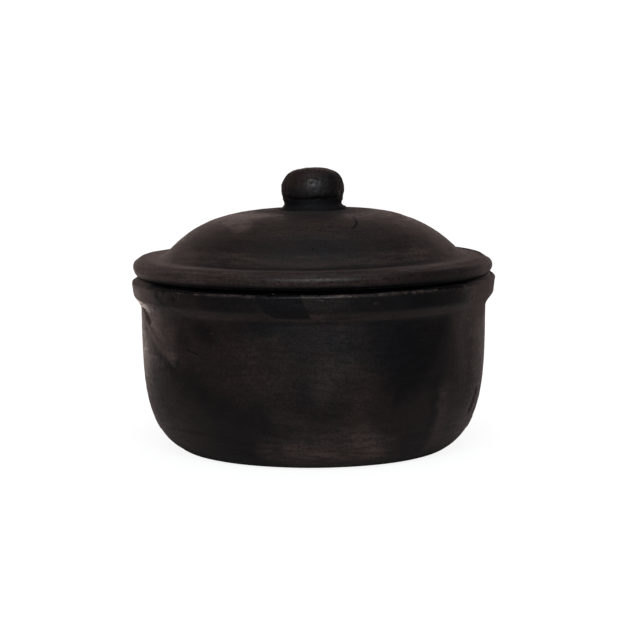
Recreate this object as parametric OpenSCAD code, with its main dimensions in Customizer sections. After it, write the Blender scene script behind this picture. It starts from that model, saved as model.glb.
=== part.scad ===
// Lidded clay cooking pot, hand-built from five pieces of clay.
// Origin: centre of the flat foot, +Z up. Sizes in millimetres.
// Every piece is a body of revolution about the Z axis, drawn as an outline of [radius, height] points.

/* [Pot] */
// Outer diameter of the mouth, across the rim collar
rim_d = 220; // [190:2:250]
// Height of the rim's seat above the table, where the lid rests
pot_h = 107; // [98:1:120]
// Diameter of the flat that the pot stands on
foot_d = 146; // [120:2:160]
// Thickness of the bowl's wall
wall_t = 8; // [6:0.5:10]
// Thickness of the bowl's base
base_t = 9; // [7:0.5:12]

/* [Rim collar] */
// Height of the collar, from its lower lap to its seat
collar_h = 21.5; // [18:0.5:26]
// How far the collar stands out from the wall
collar_step = 5.5; // [3:0.5:8]
// How far the lip lies below the seat that the lid rests on
lip_drop = 3; // [0:0.5:4]
// Radius of the lip's outer edge
lip_round = 1.8; // [1:0.2:3]
// Width of the seat, from the mouth outwards
seat_w = 9.5; // [5:0.5:10]

/* [Lid] */
// How far the lid's edge stays inside the rim's outer edge
lid_inset = 1.2; // [0:0.2:3]
// Thickness of the lid's flange
flange_t = 10.2; // [8:0.2:12]
// Width of the flange, from the lid's edge to the foot of the dome
flange_w = 17.8; // [14:0.2:22]
// Height of the dome above the flange
dome_rise = 28.3; // [20:0.1:40]
// Thickness of the dome at its crown
dome_t = 8.5; // [7:0.5:11]
// Depth that the locating ring drops into the mouth
ring_drop = 9; // [6:0.5:14]
// Width of the locating ring's coil
ring_w = 5; // [4:0.5:6]

/* [Knob] */
// Diameter of the knob's cap
knob_d = 37.6; // [30:0.2:46]
// Height of the knob above the dome
knob_h = 25.5; // [20:0.5:32]

/* [Hidden] */
$fn = 180;
clay = [0.13, 0.11, 0.10];
clay_warm = [0.17, 0.13, 0.11];

// Bowl
rim_r = rim_d / 2;
foot_r = foot_d / 2;
wall_r = rim_r - collar_step;
belly_power = 5;             // how square the belly is: the wall's curve is (1 - z / belly_top) ^ belly_power
belly_top = pot_h + 12;      // height at which the belly curve would turn vertical
belly_step = 3;              // angle between points on the belly curve
inner_foot_r = foot_r - 5;

// Joint between bowl and collar: the wall ends in a tongue that the collar's coil is pressed over
lap_z = pot_h - collar_h;    // the collar's lower edge on the outside of the wall
lap_t = 3;                   // thickness of the collar's lap over the wall
tongue_z = pot_h - 8;        // top of the tongue
flare_z = lap_z + 11;        // where the collar reaches its full width
flare_slack = 0.6;           // how much the collar still widens from there to the lip
lip_z = pot_h - lip_drop;    // top of the lip, outside the seat
lip_top_r = rim_r - lip_round;
lip_inner_round = 2;

// Lid
lid_r = rim_r - lid_inset;
edge_r = flange_t / 2;       // the lid's edge is round
edge_under_w = edge_r * 2 / 3; // its lower half is narrower, so the lid's flat underside reaches further out
flange_z = pot_h + flange_t; // top of the flange
dome_r = lid_r - flange_w;   // foot of the dome
dome_power = 3.7;            // how square the dome is
dome_blend = 1.5;            // softness of the hollow between dome and flange
hollow_r = dome_r - 3;       // mouth of the hollow under the dome
ring_key = 2;                // depth of the groove that the locating ring is pressed into
ring_gap = 2.5;              // clearance between the ring and the mouth

// Knob
knob_r = knob_d / 2;
knob_seat_z = flange_z + dome_rise - 0.5;
knob_foot_r = knob_r + 1.7;  // the neck flares out where it is smeared onto the dome
neck_r = knob_r - 1.4;
neck_z = knob_seat_z + knob_h / 6;
cap_z = knob_seat_z + knob_h / 2;
cap_power = 2.8;             // how square the cap is
tenon_r = 9;
tenon_h = 4;

// Radius of a belly curve at height z, for a curve that starts on a foot of radius foot at height z0
function belly_r(z, foot, top_r, z0) =
    foot + (top_r - foot) * sqrt(1 - pow(1 - (z - z0) / (belly_top - z0), belly_power));

// Points on that curve from its foot up to height z_end
function belly(foot, top_r, z0, z_end) =
    let (t_end = acos(pow(1 - (z_end - z0) / (belly_top - z0), belly_power / 2)))
    [for (t = [0 : belly_step : t_end - 0.2])
        [foot + (top_r - foot) * sin(t), z0 + (belly_top - z0) * (1 - pow(cos(t), 2 / belly_power))],
     [belly_r(z_end, foot, top_r, z0), z_end]];

// Points on an arc about c from angle a to angle b
function arc(c, r, a, b, n = 12) =
    [for (i = [0 : n]) c + r * [cos(a + (b - a) * i / n), sin(a + (b - a) * i / n)]];

function reversed(points) = [for (i = [len(points) - 1 : -1 : 0]) points[i]];

function smooth(t) = t * t * (3 - 2 * t);

// Height of the lid's upper surface at radius r: a dome that runs out into the flange through a soft hollow
function lid_top(r) =
    let (dome = dome_rise * (1 - pow(r / dome_r, dome_power)))
    flange_z + dome_blend * ln(1 + exp(dome / dome_blend));

// Height of the hollow under the dome at radius r
function lid_under(r) =
    pot_h + (flange_z + dome_rise - dome_t - pot_h) * (1 - pow(r / hollow_r, dome_power));

inner_r = belly_r(tongue_z, inner_foot_r, wall_r - wall_t, base_t);
lap_r = belly_r(lap_z, foot_r, wall_r, 0);
tongue_r = lap_r - lap_t;
ring_r = inner_r - ring_gap;
seat_r = min(inner_r + seat_w, lip_top_r - 1);

// The outline shared by both sides of the joint, from the outside of the wall to the inside
rim_joint = [
    [lap_r, lap_z],
    [tongue_r, lap_z + lap_t],
    [tongue_r, tongue_z],
    [inner_r, tongue_z]
];

module turned(outline) {
    rotate_extrude() polygon(outline);
}

module bowl() {
    color(clay)
    turned(concat(
        [[0, 0]],
        belly(foot_r, wall_r, 0, lap_z),
        [rim_joint[1], rim_joint[2]],
        reversed(belly(inner_foot_r, wall_r - wall_t, base_t, tongue_z)),
        [[0, base_t]]
    ));
}

module rim_collar() {
    flare = [for (i = [1 : 12])
        [lap_r + (rim_r - flare_slack - lap_r) * smooth(i / 12), lap_z + (flare_z - lap_z) * i / 12]];
    rise = [for (i = [1 : 6]) [lip_top_r + (seat_r - lip_top_r) * i / 6, lip_z + lip_drop * smooth(i / 6)]];
    color(clay)
    turned(concat(
        [rim_joint[0]],
        flare,
        arc([lip_top_r, lip_z - lip_round], lip_round, 0, 90),
        rise,
        arc([inner_r + lip_inner_round, pot_h - lip_inner_round], lip_inner_round, 90, 180, 6),
        reversed([rim_joint[1], rim_joint[2], rim_joint[3]])
    ));
}

module lid_shell() {
    under = [for (i = [0 : 24]) let (r = hollow_r * i / 24) [r, lid_under(r)]];
    upper = [for (i = [0 : 48]) let (r = lid_r - edge_r + (knob_foot_r - lid_r + edge_r) * i / 48) [r, lid_top(r)]];
    edge_under = [for (a = [-90 : 9 : -9])
        [lid_r - edge_under_w * (1 - cos(a)), pot_h + edge_r * (1 + sin(a))]];
    edge_over = arc([lid_r - edge_r, pot_h + edge_r], edge_r, 0, 90, 10);
    groove = [
        [ring_r - ring_w, pot_h],
        [ring_r - ring_w, pot_h + ring_key],
        [ring_r, pot_h + ring_key],
        [ring_r, pot_h]
    ];
    socket = [
        [knob_foot_r, knob_seat_z],
        [tenon_r, knob_seat_z],
        [tenon_r, knob_seat_z - tenon_h],
        [0, knob_seat_z - tenon_h]
    ];
    color(clay_warm)
    turned(concat(
        under,
        groove,
        edge_under,
        edge_over,
        [for (i = [1 : len(upper) - 1]) upper[i]],
        socket
    ));
}

module lid_locating_ring() {
    round_r = ring_w / 2;
    foot_z = pot_h - ring_drop + round_r;
    color(clay)
    turned(concat(
        [[ring_r, pot_h + ring_key], [ring_r - ring_w, pot_h + ring_key]],
        arc([ring_r - round_r, foot_z], round_r, 180, 360, 16)
    ));
}

module lid_knob() {
    flare = [for (i = [0 : 5]) let (a = 90 * i / 5)
        [knob_foot_r - (knob_foot_r - neck_r) * sin(a), neck_z - (neck_z - knob_seat_z) * cos(a)]];
    neck = [for (i = [1 : 8]) let (t = i / 8)
        [neck_r + (knob_r - neck_r) * smooth(t), neck_z + (cap_z - neck_z) * t]];
    cap = [for (a = [6 : 6 : 90])
        [knob_r * pow(cos(a), 2 / cap_power), cap_z + (knob_h / 2) * pow(sin(a), 2 / cap_power)]];
    color(clay_warm)
    turned(concat(
        [[0, knob_seat_z - tenon_h], [tenon_r, knob_seat_z - tenon_h], [tenon_r, knob_seat_z]],
        flare,
        neck,
        cap
    ));
}

bowl();
rim_collar();
lid_shell();
lid_locating_ring();
lid_knob();
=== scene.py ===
"""The looks of a lidded black clay pot: five hand-formed, burnished and smoke-blackened clay pieces.

Shapes are worked out in millimetres and turned into metres when a mesh is made. A place on the pot is
an angle round the Z axis, in degrees, 0 at the front (-Y) and 90 at the right (+X), and a height or a radius.
"""

import math

import bpy
import numpy as np
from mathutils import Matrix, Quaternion, Vector


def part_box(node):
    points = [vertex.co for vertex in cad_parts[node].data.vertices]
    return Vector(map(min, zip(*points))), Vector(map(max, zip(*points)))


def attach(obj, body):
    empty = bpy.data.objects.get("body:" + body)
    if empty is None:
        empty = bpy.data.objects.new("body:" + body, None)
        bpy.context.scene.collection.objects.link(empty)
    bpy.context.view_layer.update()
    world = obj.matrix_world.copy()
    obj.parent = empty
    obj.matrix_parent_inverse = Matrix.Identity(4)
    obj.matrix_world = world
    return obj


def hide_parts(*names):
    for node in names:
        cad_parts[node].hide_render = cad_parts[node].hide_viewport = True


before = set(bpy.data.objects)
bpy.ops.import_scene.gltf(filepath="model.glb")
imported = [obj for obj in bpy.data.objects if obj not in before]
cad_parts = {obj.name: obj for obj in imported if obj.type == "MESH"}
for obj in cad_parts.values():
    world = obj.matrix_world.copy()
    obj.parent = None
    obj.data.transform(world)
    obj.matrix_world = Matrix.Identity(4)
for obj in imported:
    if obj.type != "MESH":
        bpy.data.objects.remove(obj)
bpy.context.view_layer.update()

MM = 0.001


# ---- sizes

def span(node):
    """A CAD node's outer radius, lowest height and highest height, in millimetres."""
    low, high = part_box(node)
    return high.x / MM, low.z / MM, high.z / MM


WALL_R, _, TONGUE_Z = span("bowl")
RIM_R, LAP_Z, SEAT_Z = span("rim_collar")
LID_R, _, LID_TOP_Z = span("lid_shell")
RING_R, RING_Z, RING_TOP_Z = span("lid_locating_ring")
KNOB_FOOT_R, TENON_Z, KNOB_TOP_Z = span("lid_knob")

# Sizes that the frame doesn't give. They are the same as in the part's source.
FOOT_R = 73.0
INNER_FOOT_R = FOOT_R - 5.0
WALL_T = 8.0
BASE_T = 9.0
BELLY_TOP = SEAT_Z + 12.0
BELLY_POWER = 5.0
LAP_T = 3.0
FLARE_H = 11.0
FLARE_SLACK = 0.6
LIP_Z = SEAT_Z - 3.0
LIP_ROUND = 1.8
LIP_TOP_R = RIM_R - LIP_ROUND
LIP_INNER_ROUND = 2.0
SEAT_W = 9.5

FLANGE_T = 10.2
EDGE_R = FLANGE_T / 2
EDGE_UNDER_W = EDGE_R * 2 / 3
FLANGE_W = 17.8
FLANGE_Z = SEAT_Z + FLANGE_T
DOME_R = LID_R - FLANGE_W
DOME_RISE = LID_TOP_Z - FLANGE_Z
DOME_POWER = 3.7
DOME_BLEND = 1.5
DOME_T = 8.5
HOLLOW_R = DOME_R - 3.0
RING_W = 5.0

KNOB_R = 18.8
NECK_R = 17.4
TENON_R = 9.0
TENON_H = 4.0
KNOB_SEAT_Z = TENON_Z + TENON_H
KNOB_H = KNOB_TOP_Z - KNOB_SEAT_Z
CAP_Z = KNOB_SEAT_Z + KNOB_H / 2
CAP_POWER = 2.8
NECK_Z = KNOB_SEAT_Z + KNOB_H / 6


# ---- outlines

def belly(height, foot, top, start):
    """Radius of a belly curve at a height."""
    t = np.clip((height - start) / (BELLY_TOP - start), 0, 1)
    return foot + (top - foot) * np.sqrt(1 - (1 - t) ** BELLY_POWER)


def belly_points(foot, top, start, end):
    """Points up a belly curve, close together where it turns fastest."""
    last = math.acos((1 - (end - start) / (BELLY_TOP - start)) ** (BELLY_POWER / 2))
    t = np.linspace(0, last, 400)
    height = start + (BELLY_TOP - start) * (1 - np.cos(t) ** (2 / BELLY_POWER))
    return np.column_stack([belly(height, foot, top, start), height])


def arc(centre, radius, start, end, count=40):
    """Points on an arc from angle start to angle end."""
    a = np.radians(np.linspace(start, end, count))
    return np.column_stack([centre[0] + radius * np.cos(a), centre[1] + radius * np.sin(a)])


def smooth(t):
    """0 up to t = 0, 1 from t = 1, and a smooth step between."""
    t = np.clip(t, 0, 1)
    return t * t * (3 - 2 * t)


def lid_top(radius):
    """Height of the lid's upper surface: a dome that runs out into the flange through a soft hollow."""
    dome = DOME_RISE * (1 - (radius / DOME_R) ** DOME_POWER)
    return FLANGE_Z + DOME_BLEND * np.log1p(np.exp(dome / DOME_BLEND))


def lid_under(radius):
    """Height of the hollow under the dome."""
    return SEAT_Z + (LID_TOP_Z - DOME_T - SEAT_Z) * (1 - (radius / HOLLOW_R) ** DOME_POWER)


INNER_R = float(belly(TONGUE_Z, INNER_FOOT_R, WALL_R - WALL_T, BASE_T))
LAP_R = float(belly(LAP_Z, FOOT_R, WALL_R, 0))
TONGUE_R = LAP_R - LAP_T
SEAT_R = INNER_R + SEAT_W


def flared(t):
    """Radius of the collar's flare, a share t of the way up it. It leaves the wall with a definite break."""
    return LAP_R + (RIM_R - FLARE_SLACK - LAP_R) * smooth(t) ** 1.5


def wall_r(height):
    """Outer radius of the bowl and collar."""
    if height < LAP_Z:
        return float(belly(height, FOOT_R, WALL_R, 0))
    return float(flared(min(1, (height - LAP_Z) / FLARE_H)))


def outline(*stretches):
    """One outline from stretches, each (points, step): every stretch is respaced evenly to about its step."""
    rows = []
    for points, step in stretches:
        points = np.asarray(points, float)
        gone = np.concatenate([[0], np.cumsum(np.hypot(*np.diff(points, axis=0).T))])
        count = max(1, math.ceil(gone[-1] / step))
        at = np.linspace(0, gone[-1], count + 1)
        rows.append(np.column_stack([np.interp(at, gone, points[:, 0]), np.interp(at, gone, points[:, 1])]))
    joined = np.concatenate(rows)
    keep = np.concatenate([[True], np.hypot(*np.diff(joined, axis=0).T) > 1e-6])
    joined = joined[keep]
    return joined[:-1] if np.allclose(joined[0], joined[-1]) else joined


def directions(points):
    """Unit vectors along an outline. A corner takes the direction of the stretch before it."""
    steps = np.diff(points, axis=0)
    steps /= np.maximum(np.hypot(*steps.T), 1e-9)[:, None]
    before, after = np.vstack([steps[:1], steps]), np.vstack([steps, steps[-1:]])
    corner = (before * after).sum(1) < math.cos(math.radians(30))
    middle = before + after
    middle /= np.maximum(np.hypot(*middle.T), 1e-9)[:, None]
    return np.where(corner[:, None], before, middle)


def bowl_outline():
    """The foot, the outer wall, the joint with the collar and the inside."""
    inside = belly_points(INNER_FOOT_R, WALL_R - WALL_T, BASE_T, TONGUE_Z)
    return outline(
        ([[0, 0], [FOOT_R, 0]], 6.0),
        (belly_points(FOOT_R, WALL_R, 0, LAP_Z), 1.05),
        ([[LAP_R, LAP_Z], [TONGUE_R, LAP_Z + LAP_T]], 2.2),
        ([[TONGUE_R, LAP_Z + LAP_T], [TONGUE_R, TONGUE_Z]], 5.0),
        ([[TONGUE_R, TONGUE_Z], [INNER_R, TONGUE_Z]], 2.5),
        (inside[::-1], 2.6),
        ([[INNER_FOOT_R, BASE_T], [0, BASE_T]], 5.0),
    )


def collar_outline():
    """The flare, the lip, the seat that the lid rests on, and the joint with the bowl."""
    t = np.linspace(0, 1, 60)
    flare = np.column_stack([flared(t), LAP_Z + FLARE_H * t])
    lip = arc((LIP_TOP_R, LIP_Z - LIP_ROUND), LIP_ROUND, 0, 90)
    rise = np.column_stack([LIP_TOP_R + (SEAT_R - LIP_TOP_R) * t, LIP_Z + (SEAT_Z - LIP_Z) * smooth(t)])
    inner_lip = arc((INNER_R + LIP_INNER_ROUND, SEAT_Z - LIP_INNER_ROUND), LIP_INNER_ROUND, 90, 180)
    return outline(
        (flare, 0.75),
        ([flare[-1], lip[0]], 0.75),
        (lip, 0.32),
        (rise, 0.9),
        ([rise[-1], inner_lip[0]], 1.5),
        (inner_lip, 0.8),
        ([inner_lip[-1], [INNER_R, TONGUE_Z]], 1.5),
        ([[INNER_R, TONGUE_Z], [TONGUE_R, TONGUE_Z]], 2.5),
        ([[TONGUE_R, TONGUE_Z], [TONGUE_R, LAP_Z + LAP_T]], 5.0),
        ([[TONGUE_R, LAP_Z + LAP_T], [LAP_R, LAP_Z]], 2.2),
    )


def lid_outline():
    """The hollow, the locating ring's groove, the edge, the top and the knob's socket."""
    under_r = np.linspace(0, HOLLOW_R, 200)
    a = np.radians(np.linspace(-90, 0, 40))
    edge = np.column_stack([LID_R - EDGE_UNDER_W * (1 - np.cos(a)), SEAT_Z + EDGE_R * (1 + np.sin(a))])
    edge = np.concatenate([edge, arc((LID_R - EDGE_R, SEAT_Z + EDGE_R), EDGE_R, 0, 90)[1:]])
    upper_r = np.linspace(LID_R - EDGE_R, KNOB_FOOT_R, 300)
    return outline(
        (np.column_stack([under_r, lid_under(under_r)]), 3.0),
        ([[HOLLOW_R, SEAT_Z], [RING_R - RING_W, SEAT_Z]], 1.0),
        ([[RING_R - RING_W, SEAT_Z], [RING_R - RING_W, RING_TOP_Z]], 2.0),
        ([[RING_R - RING_W, RING_TOP_Z], [RING_R, RING_TOP_Z]], 5.0),
        ([[RING_R, RING_TOP_Z], [RING_R, SEAT_Z]], 2.0),
        ([[RING_R, SEAT_Z], edge[0]], 2.4),
        (edge, 0.6),
        (np.column_stack([upper_r, lid_top(upper_r)]), 0.8),
        ([[KNOB_FOOT_R, lid_top(KNOB_FOOT_R)], [KNOB_FOOT_R, KNOB_SEAT_Z]], 2.0),
        ([[KNOB_FOOT_R, KNOB_SEAT_Z], [TENON_R, KNOB_SEAT_Z]], 4.0),
        ([[TENON_R, KNOB_SEAT_Z], [TENON_R, TENON_Z]], 4.0),
        ([[TENON_R, TENON_Z], [0, TENON_Z]], 5.0),
    )


def ring_outline():
    """A coil with a round lower side."""
    half = RING_W / 2
    foot = arc((RING_R - half, RING_Z + half), half, 180, 360)
    return outline(
        ([[RING_R, RING_TOP_Z], [RING_R - RING_W, RING_TOP_Z]], 5.0),
        ([[RING_R - RING_W, RING_TOP_Z], foot[0]], 1.0),
        (foot, 0.7),
        ([foot[-1], [RING_R, RING_TOP_Z]], 1.0),
    )


def knob_outline():
    """The tenon, the flared foot, the neck and the cap."""
    a = np.radians(np.linspace(0, 90, 60))
    flare = np.column_stack([KNOB_FOOT_R - (KNOB_FOOT_R - NECK_R) * np.sin(a),
                             NECK_Z - (NECK_Z - KNOB_SEAT_Z) * np.cos(a)])
    t = np.linspace(0, 1, 40)
    neck = np.column_stack([NECK_R + (KNOB_R - NECK_R) * smooth(t), NECK_Z + (CAP_Z - NECK_Z) * t])
    a = np.radians(np.linspace(0, 90, 400))
    power = 2 / CAP_POWER
    cap = np.column_stack([KNOB_R * np.cos(a) ** power, CAP_Z + KNOB_H / 2 * np.sin(a) ** power])
    cap[-1] = [0, KNOB_TOP_Z]
    return outline(
        ([[0, TENON_Z], [TENON_R, TENON_Z]], 5.0),
        ([[TENON_R, TENON_Z], [TENON_R, KNOB_SEAT_Z]], 4.0),
        ([[TENON_R, KNOB_SEAT_Z], flare[0]], 4.0),
        (flare, 0.45),
        (neck, 0.45),
        (cap, 0.45),
    )


# ---- hand-made unevenness

# Large numbers that spread the bits of a point's whole-number coordinates
SPREAD_X, SPREAD_Y, SPREAD_Z, SPREAD_SEED = 374761393, 668265263, 1440662683, 1274126177
LOW_32_BITS = 0xFFFFFFFF
LOW_16_BITS = 0xFFFF


def lattice(ix, iy, iz, seed):
    """A repeatable value from -1 to 1 for each whole-number point."""
    n = (ix * SPREAD_X + iy * SPREAD_Y + iz * SPREAD_Z + seed * SPREAD_SEED) & LOW_32_BITS
    n = ((n ^ (n >> 13)) * SPREAD_SEED) & LOW_32_BITS
    return ((n ^ (n >> 16)) & LOW_16_BITS) / (LOW_16_BITS / 2) - 1


def noise(points, size, seed):
    """Smooth noise from -1 to 1 at each point, with features about size millimetres across."""
    q = points / size
    cell = np.floor(q).astype(np.int64)
    f = q - cell
    f = f * f * f * (f * (f * 6 - 15) + 10)
    total = np.zeros(points.shape[:-1])
    for corner in range(8):
        dx, dy, dz = corner & 1, corner >> 1 & 1, corner >> 2
        weight = ((f[..., 0] if dx else 1 - f[..., 0]) * (f[..., 1] if dy else 1 - f[..., 1])
                  * (f[..., 2] if dz else 1 - f[..., 2]))
        total += weight * lattice(cell[..., 0] + dx, cell[..., 1] + dy, cell[..., 2] + dz, seed)
    return total


def rough_noise(points, size, seed, octaves=3):
    """Noise with finer and weaker noise on top of it."""
    return sum(noise(points, size / 2 ** k, seed + k) / 2 ** k for k in range(octaves))


def turn_between(a, b):
    """The smaller turn from angle b to angle a, in degrees."""
    return (a - b + 180) % 360 - 180


def spot(s, theta, height, half_turn, half_height, power=2.0):
    """1 at a place on the wall, falling smoothly to 0 round it."""
    away = np.hypot(turn_between(s.theta, theta) / half_turn, (s.z - height) / half_height)
    return np.exp(-0.7 * away ** power)


def near(s, start, end, half_width, soft, ragged=0.0, seed=0):
    """1 within half_width of the line between two points, falling smoothly to 0 over the next soft mm.

    ragged is how far, in millimetres, noise moves its edge."""
    start, end = np.array(start, float), np.array(end, float)
    line = end - start
    share = np.clip(((s.xyz - start) @ line) / max(line @ line, 1e-9), 0, 1)
    away = np.linalg.norm(s.xyz - start - share[..., None] * line, axis=-1)
    if ragged:
        away = away + ragged * rough_noise(s.xyz, 3 * ragged, seed)
    return smooth(1 - (away - half_width) / soft)


def at(theta, radius, height):
    """The point at an angle, a radius and a height."""
    a = math.radians(theta)
    return np.array([radius * math.sin(a), -radius * math.cos(a), height])


def on_wall(theta, height):
    """A point of the even outer wall."""
    return at(theta, wall_r(height), height)


def on_lid(theta, radius):
    """A point of the lid's even upper surface."""
    return at(theta, radius, float(lid_top(radius)))


# The rim isn't quite parallel to the foot: it rises to the right
RIM_TILT = math.tan(math.radians(0.36))


def tilt_share(height):
    """How much of the rim's tilt a height takes: none at the foot, all of it from the collar up."""
    return smooth(height / LAP_Z)


class Surface:
    """The points of a turned piece before it is made uneven: a row of them for each point of the outline."""

    def __init__(self, points, angles):
        points = np.asarray(points, float)
        self.theta = np.broadcast_to(angles, (len(points), len(angles)))
        around = np.radians(self.theta)
        direction = directions(points)
        self.r = np.broadcast_to(points[:, :1], self.theta.shape)
        self.z = np.broadcast_to(points[:, 1:], self.theta.shape)
        self.xyz = np.stack([self.r * np.sin(around), -self.r * np.cos(around), self.z], -1)
        out_r, out_z = direction[:, 1:], -direction[:, :1]
        self.out_r = np.broadcast_to(out_r, self.theta.shape)
        self.out_z = np.broadcast_to(out_z, self.theta.shape)
        self.normal = np.stack([out_r * np.sin(around), -out_r * np.cos(around), self.out_z], -1)

    def moved(self, shape):
        """The points after shape has moved them along their normals and the rim's tilt has lifted them."""
        points = self.xyz + self.normal * shape(self)[..., None]
        points[..., 2] += RIM_TILT * points[..., 0] * tilt_share(self.z)
        return points


def turned(name, points, segments, shape, paints):
    """A piece of revolution from its outline, moved along its normals by shape and painted with named masks.

    The outline runs anticlockwise, and a point of it on the axis becomes one vertex."""
    s = Surface(points, np.linspace(-180, 180, segments, endpoint=False))
    moved = s.moved(shape)
    vertices, rings = [], []
    masks = {mask: paint(s) for mask, paint in paints.items()}
    values = {mask: [] for mask in paints}
    for i, (radius, _) in enumerate(points):
        rows = slice(0, 1) if radius < 1e-6 else slice(None)
        rings.append(np.arange(len(vertices), len(vertices) + len(moved[i][rows])))
        vertices.extend(moved[i][rows])
        for mask in paints:
            values[mask].extend(masks[mask][i][rows])
    faces = []
    closed = points[0][0] > 1e-6
    for i in range(len(rings) - (0 if closed else 1)):
        below, above = rings[i], rings[(i + 1) % len(rings)]
        for j in range(segments):
            k = (j + 1) % segments
            if len(below) == 1:
                faces.append((below[0], above[k], above[j]))
            elif len(above) == 1:
                faces.append((below[j], below[k], above[0]))
            else:
                faces.append((below[j], below[k], above[k], above[j]))
    mesh = bpy.data.meshes.new(name)
    mesh.from_pydata([tuple(v) for v in np.array(vertices) * MM], [], [tuple(map(int, f)) for f in faces])
    for mask in paints:
        attribute = mesh.attributes.new(mask, "FLOAT", "POINT")
        attribute.data.foreach_set("value", np.clip(values[mask], -1, 2).astype(np.float32))
    mesh.shade_smooth()
    mesh.set_sharp_from_angle(angle=math.radians(30))
    piece = bpy.data.objects.new(name, mesh)
    bpy.context.scene.collection.objects.link(piece)
    return piece


# ---- shapes of the pieces

def hand(s, seed):
    """The slow unevenness that hands leave, and the shallow facets that a burnishing stone leaves."""
    along_strokes = s.xyz * [1, 1, 3.5]
    return (0.3 * noise(s.xyz, 70, seed) + 0.14 * noise(s.xyz, 24, seed + 1)
            + 0.07 * noise(along_strokes, 9, seed + 2) + 0.03 * noise(s.xyz, 3.2, seed + 3))


FOLD_START = (-71.0, 80.0)
FOLD_END = (-51.0, 61.0)


def beyond(s, start, end):
    """How far a point of the wall lies to the left of the line from start to end, in millimetres."""
    scale = math.radians(1) * RIM_R
    along, up = scale * (end[0] - start[0]), end[1] - start[1]
    across = scale * turn_between(s.theta, start[0])
    return (along * (s.z - start[1]) - up * across) / math.hypot(along, up)


def wall_shape(s):
    """The bowl and the collar share this, so that they stay flush where they meet."""
    push = hand(s, 11) + 0.1 - 0.75 * smooth((45 - s.z) / 40)
    fold = beyond(s, FOLD_START, FOLD_END)
    along = near(s, on_wall(*FOLD_START), on_wall(*FOLD_END), 2, 7, 1.0, 15)
    push -= 0.65 * along * smooth(fold / 6) * smooth((18 - fold) / 14)
    push -= 0.3 * along * smooth(-fold / 2) * smooth((12 + fold) / 10)
    push += 0.6 * near(s, on_wall(-76, 91.5), on_wall(-60, 92), 0.4, 2.0, 0.5, 16)
    push -= 0.9 * near(s, on_wall(-75, 89), on_wall(-68, 83), 0.5, 2.6, 0.5, 17)
    push -= 0.3 * near(s, on_wall(-55, 101), on_wall(-44, 90), 0.8, 3.5, 0.5, 18)
    push -= 0.7 * near(s, on_wall(70.5, 37.5), on_wall(67.5, 28.5), 1.3, 2.2, 0.7, 19)
    dent = smooth(turn_between(s.theta, 44.5) / 3) * smooth((62 - s.theta) / 14)
    push -= 0.2 * dent * smooth((50 - s.z) / 15)
    push -= 0.4 * spot(s, -90, 94, 30, 4)
    return push


def bowl_shape(s):
    """The wall's unevenness, weaker inside and in the joint, and a worn edge to the foot."""
    inner = (s.r < INNER_R + 1) & (s.out_z > -0.5) & (s.z > BASE_T - 0.5) | (s.z > LAP_Z + 0.5)
    worn_foot = 0.6 * smooth((s.r - FOOT_R + 4) / 4) * (s.out_z < -0.9) * (s.z < 1)
    return wall_shape(s) * np.where(inner, 0.35, smooth(s.z / 4)) - worn_foot


def pitted(s, size, seed, depth):
    """Small chips and pits, deepest where the noise is lowest."""
    return np.minimum(0, rough_noise(s.xyz, size, seed) + 0.75) * depth


def collar_shape(s):
    """The wall's unevenness, chips, a raised lip and the hollow behind it."""
    outer = smooth((s.r - TONGUE_R - 0.5) / 1.5)
    seat = 1 - smooth((LIP_TOP_R - s.r) / 2) * (s.z > LIP_Z - 0.5)
    chips = pitted(s, 5, 37, 1.2) * smooth((s.z - 97) / 4)
    lip = 0.16 * noise(s.xyz * [1, 1, 0], 7, 39) * smooth((s.z - 101) / 2)
    to_right = s.xyz[..., 0] / RIM_R
    lift = 0.8 + 0.6 * smooth(to_right) - 0.5 * smooth(-to_right)
    lip += lift * smooth(s.out_z) * (s.z > LIP_Z - 2)
    patch = -0.12 * region(s, PATCH, 0.7)
    recess = smooth((LIP_TOP_R - 0.2 - s.r) / 1.2) * smooth((s.r - SEAT_R + 3) / 2.5)
    recess = recess * (s.z > LIP_Z - 0.5)
    recess = recess * smooth((0.95 - np.abs(s.xyz[..., 0]) / RIM_R) / 0.2)
    return (wall_shape(s) + chips + lip + patch) * outer * seat - 2.0 * recess


def lid_shape(s):
    """Unevenness of the top: faint rings, a fuller left side, a flattened and chipped edge."""
    upper = (s.out_z > -0.2) & (s.z > SEAT_Z + 3) & (s.r > KNOB_FOOT_R + 0.01)
    push = hand(s, 51) * 0.7
    rings = s.xyz * [0.35, 0.35, 0] + np.stack([s.r * 0, s.r * 0, s.r - s.z], -1)
    push += 0.05 * noise(rings, 3.5, 57)
    push += 0.7 * spot(s, -92, LID_TOP_Z - 14, 45, 12)
    push += 0.5 * spot(s, 88, LID_TOP_Z, 30, 5) * (s.r < 55)
    push += 0.7 * spot(s, -110, FLANGE_Z, 40, 4) * smooth((s.r - 92) / 5)
    push -= 0.8 * spot(s, 95, FLANGE_Z - 1, 35, 3) * smooth((s.r - 97) / 5)
    steep = np.degrees(np.arcsin(np.clip(s.out_z, -1, 1)))
    edge = s.r > LID_R - EDGE_R - 1
    push -= 0.62 * np.exp(-((steep - 56) / 21) ** 2) * edge
    side = smooth((np.abs(s.theta) - 75) / 15)
    push += pitted(s, 4, 61, 1.1) * smooth((s.r - 99) / 5) * (1 - 0.75 * side)
    push += 0.3 * smooth((26 - s.r) / 5)
    return np.where(upper, push, 0) * smooth((s.z - SEAT_Z) / 5)


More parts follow.
